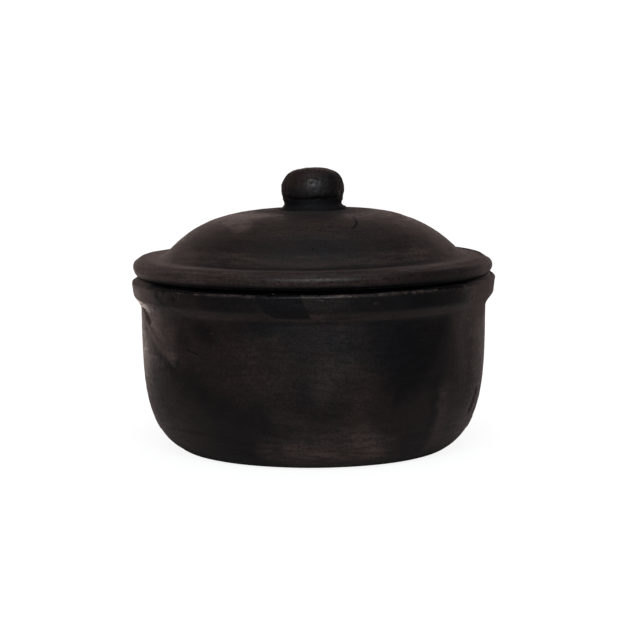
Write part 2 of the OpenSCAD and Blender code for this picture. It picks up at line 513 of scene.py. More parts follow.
def knob_shape(s):
    """Unevenness, the crease under the cap and the clay smeared round the foot."""
    outside_neck = s.r > TENON_R + 2
    shown = (s.r > TENON_R + 0.5) | (s.z > CAP_Z - 4)
    push = 0.35 * noise(s.xyz, 16, 71) + 0.16 * noise(s.xyz, 6.5, 72) + 0.15 * noise(s.xyz, 1.8, 73)
    crease = CAP_Z - 5.4 + 0.8 * np.abs(np.sin(np.radians(s.theta + 15)))
    lip = smooth((95 - np.abs(s.theta + 10)) / 60)
    push += 0.35 * smooth((s.z - crease) / 1.2) * smooth((crease + 7 - s.z) / 6) * lip
    push -= 0.25 * np.exp(-((s.z - crease) / 1.2) ** 2) * lip
    push += 0.6 * smooth((crease + 1 - s.z) / 3) * (1 - lip) * outside_neck * smooth((s.z - NECK_Z) / 3)
    smeared = 1.0 + 0.7 * smooth(s.xyz[..., 0] / KNOB_R)
    push += smeared * smooth((KNOB_SEAT_Z + 4.5 - s.z) / 4) * outside_neck
    push -= (0.6 - 0.3 * s.xyz[..., 0] / KNOB_R) * np.exp(-((s.z - KNOB_TOP_Z + 6) / 3.5) ** 2)
    push += 0.5 * smooth((11 - s.r) / 9) * smooth((s.z - (KNOB_TOP_Z - 2)) / 1.5)
    return np.where(shown, push, 0)


def ring_shape(s):
    """Slight unevenness."""
    return 0.4 * noise(s.xyz, 20, 81) + 0.15 * noise(s.xyz, 5, 82)


# ---- paint masks

# Corners (angle, height) of convex regions of the wall, anticlockwise
PATCH = [(-17.4, 106), (-17.0, 100), (-14.4, 94.3), (-11.5, 91.0), (-0.7, 91.0), (-4.4, 106)]
CLOUD = [(11, 88), (13, 76), (18, 52), (27, 34), (35, 36), (39, 51), (54, 70), (54, 88)]
DUSTY_FACET = [FOLD_START, FOLD_END, (-50, 70), (-48, 82), (-54, 92), (-78, 92)]


def region(s, corners, soft, ragged=0.0):
    """1 inside a region of the wall, 0 outside it, with an edge soft millimetres wide."""
    least = np.full(s.theta.shape, np.inf)
    for start, end in zip(corners, corners[1:] + corners[:1]):
        least = np.minimum(least, beyond(s, start, end))
    if ragged:
        least = least + ragged * rough_noise(s.xyz, 3 * ragged, 90)
    return smooth(0.5 + least / soft) * (s.out_r > -0.1) * (np.abs(s.theta) < 100)


# Strokes on the wall: from (angle, height) to (angle, height), half width, soft edge, strength
# Dark strokes: fire clouds, and painted shade in a line under the fold's ridge, from (-61, 68) to (-53, 57.5)
SMOKE_AND_SHADE = [
    ((-4, 76), (-3, 40), 3, 9, 0.6),
    ((-8, 45), (4, 38), 4, 12, 0.6),
    ((-54, 58), (-44, 50.5), 2.5, 6, 1.0),
    ((-44, 50.5), (-39, 45), 2.5, 7, 1.0),
    ((-39, 45), (-32, 39), 2.5, 8, 0.9),
    ((-32, 39), (-13, 31), 3, 10, 0.6),
    ((-60, 55), (-62, 30), 3, 8, 0.75),
    ((-61, 68), (-53, 57.5), 1.2, 3.5, 0.9),
    ((-29, 86), (-17, 86), 2, 7, 0.5),
    ((-39, 82.5), (-34, 79), 1.5, 5, 0.75),
    ((-47, 78), (-45, 75), 1, 4, 0.5),
    ((-55, 101), (-48, 96), 1.2, 3.5, 0.7),
    ((-48, 96), (-44, 90), 1.2, 3.5, 0.6),
    ((43.4, 50), (43.3, 29), 1.2, 4.5, 0.8),
    ((43.3, 29), (42, 9), 1.2, 4.5, 0.85),
    ((36, 17), (42, 21), 1.2, 3.5, 0.6),
    ((14, 99), (31, 99), 3, 5, 0.8),
    ((31, 99), (50, 99), 3, 5, 0.85),
    ((-34, 99), (-20, 99), 3, 5, 0.6),
    ((-75, 89), (-68, 83), 0.8, 2.5, 0.9),
    ((-45, 22), (-18, 15), 4, 16, 0.4),
    ((24, 26), (42, 20), 4, 16, 0.25),
    ((62, 80), (62, 20), 2, 7, 0.4),
]
WARM = [
    ((12, 80), (14, 66), 2, 9, 0.35),
    ((14, 66), (16, 50), 3, 10, 0.4),
    ((16, 50), (12, 36), 4, 12, 0.5),
    ((4.4, 67), (1.2, 55), 2.0, 6, 0.8),
    ((-36, 68), (-14, 52), 9, 22, 0.4),
    ((52, 84), (50, 50), 1, 6, 0.6),
    ((-16, 60), (-12, 40), 4, 14, 0.5),
]
COOL = [
    ((7, 88), (9.3, 76), 3, 7, 1.2),
    ((9.3, 76), (8, 64), 3, 7, 1.0),
    ((8, 64), (-2, 48), 2, 7, 0.8),
    ((-40, 34), (-8, 14), 7, 16, 0.8),
    ((14, 12), (42, 12), 6, 12, 0.7),
    ((22, 80), (46, 60), 9, 16, 0.9),
    ((-22, 87), (-8, 87), 2, 5, 0.9),
    ((28, 99), (52, 99), 4, 5, 1.0),
    ((-6, 99), (28, 99), 3, 5, 0.5),
    ((-32, 99), (-18, 99), 4, 5, 0.8),
    ((-64, 60), (-62, 25), 4, 10, 0.8),
]
# Pale strokes: dust and scuffs, and painted light: a highlight along the fold's ridge, the left-hand side
# paler where more light falls, and the pale zone low in front, which stands for light thrown up from the
# floor
DUST_AND_LIGHT = [
    ((-76, 92), (-59, 92), 1.0, 2.2, 2.0),
    ((-70, 80), (-52, 64), 1.0, 3.0, 1.5),
    ((-75, 86), (-62, 78), 3, 7, 1.5),
    ((-6, 5), (18, 8), 4, 16, 1.15),
    ((0, 14), (18, 18), 2, 12, 0.4),
    ((60, 94), (84, 94), 5, 7, 1.0),
    ((-86, 95), (-68, 95), 7, 6, 1.3),
    ((-10, 31), (-1, 25), 2, 6, 0.2),
    ((9, 86), (9, 64), 1.5, 7, 0.1),
    ((9, 64), (2, 50), 1.0, 7, 0.25),
    ((56, 84), (57, 60), 2, 7, 0.25),
    ((75, 85), (76, 20), 5, 12, 0.3),
    ((-84, 80), (-84, 20), 4, 9, 0.6),
    ((47.5, 44), (48, 12), 1.5, 5, 0.6),
    ((69, 37), (68, 29), 0.8, 2.0, 0.7),
]


def strokes(s, rows, seed):
    """The strongest of a list of soft strokes on the wall, with ragged edges."""
    total = np.zeros(s.theta.shape)
    for i, (start, end, half_width, soft, strength) in enumerate(rows):
        stroke = near(s, on_wall(*start), on_wall(*end), half_width, 1.5 * soft, 0.3 * soft, seed + i)
        total = np.maximum(total, strength * stroke)
    return total


def front(s):
    """1 on the side that is described stroke by stroke, 0 behind."""
    return 1 - smooth((np.abs(s.theta) - 72) / 22)


def floor_lit_collar_band(s):
    """1 on the band round the underside of the collar's flare, painted paler: a painted reflection of the
    floor's light.
    """
    return smooth((s.z - LAP_Z - 3.2) / 1.2) * smooth((LAP_Z + 9.5 - s.z) / 1.8) * (s.out_r > 0)


def wall_smoke_and_shade(s):
    """Fire clouds: described ones in front, others behind; and painted shade where the lid covers the
    collar's top and along the bottom of the foot.
    """
    behind = 0.75 * smooth((rough_noise(s.xyz, 46, 91) - 0.1) / 0.5)
    hard_side = 1 - smooth((s.theta - 47.8) / 2.5) * smooth((s.z - 55) / 10)
    soft_side = 0.3 + 0.7 * smooth((s.theta - 12) / 18)
    cloud = np.maximum(strokes(s, SMOKE_AND_SHADE, 101), region(s, CLOUD, 14, 2.0) * hard_side * soft_side)
    cloud = cloud * (1 - strokes(s, WARM, 131) * 0.6)
    # less smoke on the band under the collar's flare: a painted reflection of the floor's light
    cloud = cloud * (0.9 + 0.25 * rough_noise(s.xyz, 16, 93)) * (1 - 0.6 * floor_lit_collar_band(s))
    cloud = np.maximum(cloud, region(s, PATCH, 0.8) * 0.92)
    # painted shade: black where the lid covers the collar's top, and a dark line along the bottom of the foot
    painted_shade = np.maximum(closed_in(s), 0.85 * smooth((3.5 - s.z) / 2.5) * (s.out_r > 0.1))
    return np.maximum(np.where(front(s) > 0, cloud, 0), behind * (1 - front(s))) + painted_shade


def wall_warm(s):
    """How brown the wall is."""
    behind = 0.5 * rough_noise(s.xyz, 38, 95) * (1 - front(s))
    return 0.45 + 0.7 * strokes(s, WARM, 131) - 0.45 * strokes(s, COOL, 121) + behind


def wall_dust_and_light(s):
    """Pale dust and scuffs on the wall, and painted light: the facet paler towards the left, where more light
    falls, the band under the flare, and a highlight along the lip.
    """
    behind = 0.6 * smooth((rough_noise(s.xyz, 24, 97) - 0.15) / 0.6) * (1 - front(s))
    fold = beyond(s, FOLD_START, FOLD_END)
    pale_dust_and_light = np.maximum(strokes(s, DUST_AND_LIGHT, 151), behind)
    # the facet is dusty, and paler still towards the left: painted light where more light falls
    facet_dust_and_light = 0.45 + 1.05 * smooth((-48 - s.theta) / 16)
    pale_dust_and_light = np.maximum(pale_dust_and_light, facet_dust_and_light * region(s, DUSTY_FACET, 9, 1.0) * smooth(0.5 + fold))
    # the band under the collar's flare is painted pale: a painted reflection of the floor's light
    pale_dust_and_light = np.maximum(pale_dust_and_light, (0.35 + 0.15 * noise(s.xyz, 14, 99)) * floor_lit_collar_band(s))
    # painted highlight along the rubbed lip
    lip = np.maximum(wall_shine(s), 0) * (closed_in(s) < 0.1) * (s.z > LIP_Z - 2)
    pale_dust_and_light = np.maximum(pale_dust_and_light, 0.9 * lip)
    return pale_dust_and_light * (1 - region(s, PATCH, 0.8))


def closed_in(s):
    """1 on the part of the collar's top that the lid covers, which is painted black: painted shade under the
    lid.
    """
    side = smooth((np.abs(s.xyz[..., 0]) - 45) / 40)
    covered = (s.r < LIP_TOP_R + 0.6 + 0.8 * side) * (s.r > INNER_R)
    return smooth((s.z - LIP_Z + 0.3 + 0.5 * side) / 0.6) * covered


def wall_shine(s):
    """The lip and the ledge at the left are rubbed smooth. The right-hand side is duller."""
    worn = (0.7 + 0.8 * rough_noise(s.xyz, 3, 191)) * smooth((75 - np.abs(s.theta)) / 30)
    lip = smooth((s.z - (LIP_Z - 1.3)) / 0.8) * worn * (1 - region(s, PATCH, 0.8))
    dull = 0.4 * smooth((s.theta - 62) / 12) * smooth((s.z - 75) / 12)
    dull = dull + 0.6 * smooth((s.theta - 54) / 10) * smooth((s.z - 25) / 25)
    dull = dull * smooth((160 - s.theta) / 50)
    ledge = near(s, on_wall(-76, 92), on_wall(-59, 92), 1.5, 3)
    polished = 1.6 * ledge + 0.4 * region(s, DUSTY_FACET, 9) * smooth((-54 - s.theta) / 6)
    covered = 0.8 - 1.3 * smooth((np.abs(s.xyz[..., 0]) - 85) / 12)
    return np.where(closed_in(s) > 0.1, covered, lip - dull + polished)


def lid_shine(s):
    """The edge is rubbed smooth in front, and so are the scuffs. The underside is matt."""
    worn = 0.8 + 0.5 * rough_noise(s.xyz, 4, 193)
    edge = 0.7 * smooth((s.r - (LID_R - 2.5)) / 1.5) * worn * smooth((60 - np.abs(s.theta)) / 40)
    right = smooth((s.xyz[..., 0] - 70) / 15)
    dull = 0.8 * smooth((40 - s.r) / 10) + 0.4 * right
    upper = edge - dull + 0.7 * lid_scuffs(s) * (s.out_z > 0)
    return np.where(s.z < SEAT_Z + 0.3, -1, upper)


def knob_shine(s):
    """The knob is rubbed smooth in front, and is duller at its sides and neck."""
    rubbed = 0.95 * spot(s, 0, CAP_Z + 6.5, 15, 4.5, 4)
    side = smooth((np.abs(s.theta) - 50) / 25) * smooth((KNOB_TOP_Z - 2 - s.z) / 2)
    return rubbed - 0.3 - smooth((CAP_Z - 5 - s.z) / 2) - 0.9 * side


def band(value, start, end, soft):
    """1 between start and end, falling smoothly to 0 over soft on each side."""
    return smooth((value - start) / soft + 1) * smooth((end - value) / soft + 1)


def lid_smoke_and_shade(s):
    """Blots and a faint darker ring, with painted shade: a dark ring where the dome meets the flange, round
    the knob, and on the underside and the lower edge.
    """
    spots = [on_lid(39, 70), on_lid(47, 73), on_lid(52, 66)]
    blots = sum(near(s, spot_at, spot_at, 0.8, 4, 1.2, 161 + i) for i, spot_at in enumerate(spots))
    # painted shade: black on the underside and the lower part of the edge
    painted_shade_under_edge = smooth((SEAT_Z + 4.2 - s.z) / 2.6)
    wander = s.r + 1.2 * noise(s.xyz, 20, 165)
    # a faint darker ring, and painted shade in the hollow where the dome meets the flange
    rings = 0.25 * band(wander, 76.5, 80.5, 4) + 0.6 * band(wander, 91.5, 93.5, 1.8)
    # painted shade round the knob
    knob_shade = (0.95 + 0.2 * noise(s.xyz, 12, 167)) * smooth((50 - s.r) / 20)
    upper = (s.out_z > 0.05) & (s.r < LID_R - 2)
    return (0.5 * blots + rings + knob_shade) * upper + painted_shade_under_edge


def lid_warm(s):
    """How brown the lid is: less low on the front of the dome, a painted bluish sheen."""
    painted_bluish_sheen = band(s.r, 75, 84, 6) * smooth((40 - np.abs(s.theta)) / 25) * (s.out_z > 0.05)
    return 0.75 + 0.25 * rough_noise(s.xyz, 40, 171) - 0.35 * painted_bluish_sheen


def lid_scuffs(s):
    """Scuffed clay high on the left of the dome."""
    scuffs = near(s, on_lid(-78, 52), on_lid(-48, 44), 3, 10, 3, 181)
    scuffs = np.maximum(scuffs, near(s, on_lid(-62, 56), on_lid(-40, 64), 2, 8, 3, 183))
    return np.maximum(scuffs, 1.2 * near(s, on_lid(-66, 46), on_lid(-50, 50), 1, 5, 2, 185))


def lid_dust_and_light(s):
    """Pale dust on the lid and the scuffs, and painted light: reflections on the flange and the sides of the
    dome, highlight lines round the dome's foot, and an edge paler at the left and at the far right.
    """
    right = s.xyz[..., 0]
    side = np.abs(right)
    level = s.out_z > 0.75
    # painted reflection: the flange paler towards the sides, and more at the left
    flange = 0.25 + (0.95 - 0.35 * right / LID_R) * smooth((side - 25) / 50)
    flange = flange * smooth((s.r - DOME_R - 2) / 3) * level
    # painted highlight: a pale line on the flange round the dome's foot
    flange += 0.25 * band(s.r, 94.5, 96, 1.2) * level
    # faint pale bands, a painted highlight just inside the dome's foot, and the sides of the dome paler: a
    # painted reflection
    dome = 0.05 + 0.1 * band(s.r, 56, 70, 8) + 0.2 * band(s.r, 84, 88, 2.5)
    dome = (dome + 0.5 * smooth((side - 45) / 35) * (1 + rough_noise(s.xyz, 12, 187))) * (s.r < DOME_R + 1)
    dome = dome * smooth((s.r - 34) / 18)
    # painted light: the edge paler at the left, where more light falls, and at the far right end, where the
    # backdrop lights it
    edge = 0.3 + 0.9 * smooth((-right - 50) / 40) - 0.3 * smooth((right - 20) / 40)
    edge = edge + 0.9 * smooth((right - 95) / 8)
    edge = edge * (s.r > LID_R - EDGE_R) * ~level * smooth((s.z - SEAT_Z - 1.5) / 2)
    return np.maximum(1.6 * lid_scuffs(s), flange + dome + edge) * (s.out_z > -0.7) * (s.z > SEAT_Z + 1)


def knob_smoke_and_shade(s):
    """Soot and painted shade on the neck under the cap, painted shade in the crease and on the cap's lower
    half, and darker on the right-hand side.
    """
    # painted shade in the crease under the cap
    crease = np.exp(-((s.z - (CAP_Z - 5.8)) / 2.0) ** 2)
    below_cap = smooth((CAP_Z - 4 - s.z) / 4)
    # soot and painted shade on the neck under the cap
    neck = (0.95 + 0.15 * noise(s.xyz, 5, 191)) * below_cap * smooth((s.z - KNOB_SEAT_Z - 1) / 3)
    neck = np.maximum(neck, 0.6 * below_cap)
    right = 0.3 * smooth((s.xyz[..., 0] - 4) / 12)
    # painted shade under the cap
    painted_shade_under_cap = 0.5 * smooth((CAP_Z + 3 - s.z) / 7)
    return np.maximum(np.maximum(crease, neck), right + painted_shade_under_cap)


def knob_warm(s):
    """The knob is browner at the left and on top."""
    left = smooth((9 - s.xyz[..., 0]) / 12)
    return np.clip(left * smooth((s.z - CAP_Z + 1) / 4) + smooth((s.z - KNOB_TOP_Z + 5) / 3), 0.35, 1)


def none(s):
    """A mask that is 0 everywhere."""
    return np.zeros(s.theta.shape)


# ---- materials

def add(tree, kind, inputs=None, **settings):
    """A new node. An input is linked if its value is another node's output, and set to the value if not."""
    node = tree.nodes.new(kind)
    for key, value in settings.items():
        setattr(node, key, value)
    for key, value in (inputs or {}).items():
        if isinstance(value, bpy.types.NodeSocket):
            tree.links.new(value, node.inputs[key])
        else:
            node.inputs[key].default_value = value
    return node


def math_node(tree, operation, *values, clamp=False):
    """The result of an operation on outputs or numbers."""
    node = add(tree, "ShaderNodeMath", dict(enumerate(values)), operation=operation, use_clamp=clamp)
    return node.outputs[0]


def ramp(tree, value, low, high, to_low=0.0, to_high=1.0):
    """A smooth step from to_low to to_high as value goes from low to high."""
    node = add(tree, "ShaderNodeMapRange", {"Value": value, "From Min": low, "From Max": high,
                                            "To Min": to_low, "To Max": to_high},
               interpolation_type="SMOOTHSTEP")
    return node.outputs["Result"]


def mix(tree, share, a, b, blend="MIX"):
    """Colour a blended with colour b by a share from 0 to 1."""
    node = add(tree, "ShaderNodeMix", {0: share, 6: a, 7: b}, data_type="RGBA", blend_type=blend)
    return node.outputs[2]


def noise_node(tree, where, scale, detail=4.0, roughness=0.55):
    """Noise around 0.5."""
    node = add(tree, "ShaderNodeTexNoise", {"Vector": where, "Scale": scale, "Detail": detail,
                                            "Roughness": roughness})
    return node.outputs["Fac"]


def stretched(tree, where, factors):
    """Coordinates multiplied by factors."""
    return add(tree, "ShaderNodeVectorMath", {0: where, 1: factors}, operation="MULTIPLY").outputs[0]


def attribute(tree, name):
    """One of the masks painted on the piece."""
    return add(tree, "ShaderNodeAttribute", attribute_name=name).outputs["Fac"]


COOL_CLAY = (0.0085, 0.0076, 0.0086, 1)
WARM_CLAY = (0.0265, 0.0168, 0.0132, 1)
# soot black, also used for painted shade
SOOT_AND_SHADE_CLAY = (0.0012, 0.0014, 0.0026, 1)
# pale dust, also used for painted light: highlights, reflections and paler lit sides
PALE_DUST_AND_LIGHT_CLAY = (0.1420, 0.1020, 0.0880, 1)
SCUFFED_CLAY = (0.060, 0.046, 0.042, 1)
PIT_BLACK = (0.0020, 0.0016, 0.0015, 1)
CLAY_REFLECTANCE = 0.25
SHEEN_TINT = (1.0, 0.80, 0.72, 1)
MARK_WOBBLE = 0.0012
BUMP_DEPTH = 0.0003


def path_round(tree, place, climb, wander):
    """Coordinates that run round the Z axis, so that noise drawn in them is stretched along the stone's path.

    climb is 1 where the surface rises outwards and -1 where it falls outwards."""
    parts = add(tree, "ShaderNodeSeparateXYZ", {0: place})
    flat = add(tree, "ShaderNodeCombineXYZ", {0: parts.outputs[0], 1: parts.outputs[1]}).outputs[0]
    radius = add(tree, "ShaderNodeVectorMath", {0: flat}, operation="LENGTH").outputs["Value"]
    direction = add(tree, "ShaderNodeVectorMath", {0: flat}, operation="NORMALIZE").outputs[0]
    level = math_node(tree, "MULTIPLY_ADD", parts.outputs[2], climb, radius)
    level = math_node(tree, "MULTIPLY_ADD", noise_node(tree, place, 14, 1), wander, level)
    round_axis = add(tree, "ShaderNodeSeparateXYZ", {0: direction}).outputs
    return add(tree, "ShaderNodeCombineXYZ", {0: round_axis[0], 1: round_axis[1], 2: level}).outputs[0]


def streaks(tree, path, length, width, detail=3.0):
    """Streaks along a path: length in radians round the axis, width in metres."""
    return noise_node(tree, stretched(tree, path, (1 / length, 1 / length, 1 / width)), 1.0, detail, 0.6)


def mark(tree, place, start, end, half_width):
    """1 along a thin line between two points in millimetres, 0 away from it."""
    start, end = Vector(start) * MM, Vector(end) * MM
    line = end - start
    away = add(tree, "ShaderNodeVectorMath", {0: place, 1: start}, operation="SUBTRACT").outputs[0]
    if line.length > 0:
        share = add(tree, "ShaderNodeVectorMath", {0: away, 1: line / line.length_squared},
                    operation="DOT_PRODUCT")
        share = math_node(tree, "ADD", share.outputs["Value"], 0.0, clamp=True)
        along = add(tree, "ShaderNodeVectorMath", {0: line, "Scale": share}, operation="SCALE").outputs[0]
        away = add(tree, "ShaderNodeVectorMath", {0: away, 1: along}, operation="SUBTRACT").outputs[0]
    gap = add(tree, "ShaderNodeVectorMath", {0: away}, operation="LENGTH").outputs["Value"]
    return ramp(tree, gap, 0.6 * half_width * MM, 1.25 * half_width * MM, 1, 0)


def marks(tree, place, rows):
    """The strongest of several thin marks."""
    total = None
    for start, end, half_width in rows:
        one = mark(tree, place, start, end, half_width)
        total = one if total is None else math_node(tree, "MAXIMUM", total, one)
    return 0.0 if total is None else total


def cells(tree, place, scale, size, share):
    """Small round spots of about the given size in metres, in a share of the cells of a random pattern."""
    node = add(tree, "ShaderNodeTexVoronoi", {"Vector": place, "Scale": scale, "Randomness": 1.0})
    round_spot = ramp(tree, node.outputs["Distance"], size * scale * 0.5, size * scale, 1, 0)
    number = add(tree, "ShaderNodeSeparateColor", {0: node.outputs["Color"]}).outputs[0]
    return math_node(tree, "MULTIPLY", round_spot, ramp(tree, number, 1 - share, 1 - share + 0.02))


def clay(name, climb, roughness, stroke_length, stroke_depth, stroke_tone, grain_depth,
         dark_marks=(), light_marks=(), sheen=0.1):
    """Burnished, smoke-blackened clay, coloured by masks of soot and painted shade, of warmth, and of dust
    and painted light.

    stroke_length is in radians round the axis. The depths and stroke_tone say how much the burnishing
    strokes and the grain show in the relief and in the colour."""
    material = bpy.data.materials.new(name)
    material.use_nodes = True
    tree = material.node_tree
    shader = tree.nodes["Principled BSDF"]
    place = add(tree, "ShaderNodeTexCoord").outputs["Object"]
    path = path_round(tree, place, climb, 0.012)

    mottle = noise_node(tree, place, 60, 5, 0.6)
    fine = noise_node(tree, place, 480, 3, 0.65)
    grain = noise_node(tree, place, 1100, 2, 0.7)
    stroke = streaks(tree, path, stroke_length, 0.0035)
    thin_stroke = streaks(tree, path, stroke_length * 0.6, 0.0009, 2.0)
    smoke_and_shade_mask = attribute(tree, "smoke_and_shade")
    warmth = attribute(tree, "warm")
    dust_and_light_mask = attribute(tree, "dust_and_light")

    wobble = add(tree, "ShaderNodeTexNoise", {"Vector": place, "Scale": 500.0, "Detail": 2.0})
    wobble = add(tree, "ShaderNodeVectorMath", {0: wobble.outputs["Color"], 1: (0.5, 0.5, 0.5)},
                 operation="SUBTRACT").outputs[0]
    wobble = stretched(tree, wobble, (MARK_WOBBLE, MARK_WOBBLE, MARK_WOBBLE))
    rough_place = add(tree, "ShaderNodeVectorMath", {0: place, 1: wobble}, operation="ADD").outputs[0]
    dark = marks(tree, rough_place, dark_marks)
    light = marks(tree, rough_place, light_marks)

    warmth = math_node(tree, "ADD", warmth, ramp(tree, mottle, 0.35, 0.7, -0.2, 0.25), clamp=True)
    colour = mix(tree, warmth, COOL_CLAY, WARM_CLAY)
    # soot, and painted shade where the mask puts it
    colour = mix(tree, smoke_and_shade_mask, colour, SOOT_AND_SHADE_CLAY)
    # pale dust, and painted light where the mask puts it
    pale_dust_and_light = math_node(tree, "MULTIPLY", dust_and_light_mask, ramp(tree, stroke, 0.4, 0.6, 0.28, 0.5))
    pale_dust_and_light = math_node(tree, "MULTIPLY", pale_dust_and_light, ramp(tree, grain, 0.35, 0.6, 0.7, 1.0), clamp=True)
    colour = mix(tree, pale_dust_and_light, colour, PALE_DUST_AND_LIGHT_CLAY)
    shade = math_node(tree, "ADD", ramp(tree, stroke, 0.35, 0.65, 1 - stroke_tone, 1 + stroke_tone),
                      ramp(tree, thin_stroke, 0.38, 0.62, -1.5 * stroke_tone, 1.5 * stroke_tone))
    shade = math_node(tree, "ADD", shade, ramp(tree, fine, 0.38, 0.62, -0.15, 0.15))
    shade = math_node(tree, "ADD", shade, ramp(tree, grain, 0.38, 0.62, -0.18, 0.18))
    grey = add(tree, "ShaderNodeCombineColor", {0: shade, 1: shade, 2: shade}).outputs[0]
    colour = mix(tree, 1.0, colour, grey, "MULTIPLY")
    pits = cells(tree, rough_place, 240, 0.0007, 0.16)
    pits = math_node(tree, "MAXIMUM", pits, dark)
    specks = cells(tree, place, 130, 0.0004, 0.1)
    colour = mix(tree, math_node(tree, "MULTIPLY", specks, 0.3), colour, PALE_DUST_AND_LIGHT_CLAY)
    colour = mix(tree, math_node(tree, "MULTIPLY", light, 0.5), colour, SCUFFED_CLAY)
    colour = mix(tree, math_node(tree, "MULTIPLY", pits, 0.85), colour, PIT_BLACK)
    tree.links.new(colour, shader.inputs["Base Color"])

    gloss = math_node(tree, "ADD", ramp(tree, stroke, 0.3, 0.7, roughness - 0.06, roughness + 0.06),
                      ramp(tree, fine, 0.3, 0.7, -0.07, 0.07))
    gloss = math_node(tree, "MULTIPLY_ADD", dust_and_light_mask, 0.1, gloss)
    gloss = math_node(tree, "MULTIPLY_ADD", attribute(tree, "shine"), -0.3, gloss)
    gloss = math_node(tree, "MULTIPLY_ADD", pits, 0.3, gloss)
    tree.links.new(math_node(tree, "MINIMUM", gloss, 0.95), shader.inputs["Roughness"])

    height = math_node(tree, "MULTIPLY", stroke, stroke_depth)
    height = math_node(tree, "MULTIPLY_ADD", thin_stroke, 0.3 * stroke_depth, height)
    height = math_node(tree, "MULTIPLY_ADD", fine, 0.7, height)
    height = math_node(tree, "MULTIPLY_ADD", grain, grain_depth, height)
    height = math_node(tree, "MULTIPLY_ADD", pits, -1.2, height)
    height = math_node(tree, "MULTIPLY_ADD", light, 0.3, height)
    bump = add(tree, "ShaderNodeBump", {"Height": height, "Strength": 0.7, "Distance": BUMP_DEPTH})
    tree.links.new(bump.outputs[0], shader.inputs["Normal"])

    shader.inputs["Specular IOR Level"].default_value = CLAY_REFLECTANCE
    shader.inputs["Sheen Weight"].default_value = sheen
    shader.inputs["Sheen Roughness"].default_value = 0.35
    shader.inputs["Sheen Tint"].default_value = SHEEN_TINT
    return material


# ---- cracks, pits and scratches

def wall_point(theta, height):
    """A point on the uneven outside of the bowl or collar, for a mark."""
    rows = [(wall_r(h), h) for h in (height - 0.3, height, height + 0.3)]
    return Surface(rows, [theta]).moved(wall_shape)[1, 0]


def lid_point(theta, radius):
    """A point on the uneven top of the lid, for a mark."""
    rows = [(r, float(lid_top(r))) for r in (radius + 0.3, radius, radius - 0.3)]
    return Surface(rows, [theta]).moved(lid_shape)[1, 0]


def marks_on(point, rows):
    """Thin marks on a surface. Each row is the places that a mark runs through, and its half width.

    point turns a place into a point. A mark with only one place is a pit."""
    found = []
    for places, half_width in rows:
        points = [point(*place) for place in places]
        found += [(a, b, half_width) for a, b in zip(points, points[1:] or points)]
    return found


# Places on the wall are (angle, height), places on the lid are (angle, radius)
WALL_DARK_MARKS = [
    ([(-44.5, 70.3), (-43.0, 70.0), (-41.9, 69.1), (-40.6, 69.0), (-39.2, 68.0)], 0.6),
    ([(-48.9, 47.6), (-47.9, 45.2)], 0.45),
    ([(72.2, 59.0), (73.2, 56.2)], 0.8),
    ([(60.6, 55.0), (60.8, 53.2)], 0.4),
    ([(4.0, 88.6), (5.6, 88.4)], 0.35),
    ([(-63.2, 66.0)], 0.7),
    ([(-69.1, 21.7)], 0.9),
    ([(-61.5, 18.6)], 0.8),
    ([(-54.0, 16.8), (-53.0, 15.6)], 0.7),
    ([(36.4, 20.1)], 0.7),
    ([(57.2, 96.6)], 1.1),
]
WALL_LIGHT_MARKS = [
    ([(-43.4, 68.4), (-41.0, 67.6), (-39.4, 66.7)], 0.25),
    ([(-34.2, 81.4), (-32.8, 80.9)], 0.25),
    ([(-33.4, 79.0), (-32.4, 78.8)], 0.2),
    ([(-1.0, 93.8), (1.1, 91.0), (3.8, 89.3)], 0.3),
    ([(-11.5, 90.6), (-6.0, 90.4)], 0.25),
    ([(-4.8, 100.9), (-2.8, 100.6)], 0.3),
]
LID_DARK_MARKS = [
    ([(31.4, 45.0), (28.6, 52.5)], 0.6),
    ([(28.6, 52.5), (26.2, 57.5), (23.2, 61.8), (21.2, 63.0)], 0.95),
    ([(21.2, 63.0), (18.0, 62.4)], 0.6),
    ([(91.0, 47.7)], 1.3),
    ([(71.0, 96.0)], 0.7),
    ([(-18.6, 64.4)], 0.5),
    ([(-0.4, 80.1)], 0.5),
    ([(64.0, 101.0)], 0.5),
    ([(-52.0, 98.0)], 0.5),
]
LID_LIGHT_MARKS = [
    ([(theta, 98.5 + 0.01 * theta) for theta in range(-34, -4, 6)], 0.22),
    ([(-50.9, 81.1)], 0.35),
    ([(-35.7, 91.0)], 0.4),
    ([(-0.9, 96.5)], 0.35),
]


# ---- making the pieces

def finished(piece, body, node, material):
    """Give a piece its material, say what it rides on, and hide the CAD node that it stands for."""
    piece.data.materials.append(material)
    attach(piece, body)
    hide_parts(node)


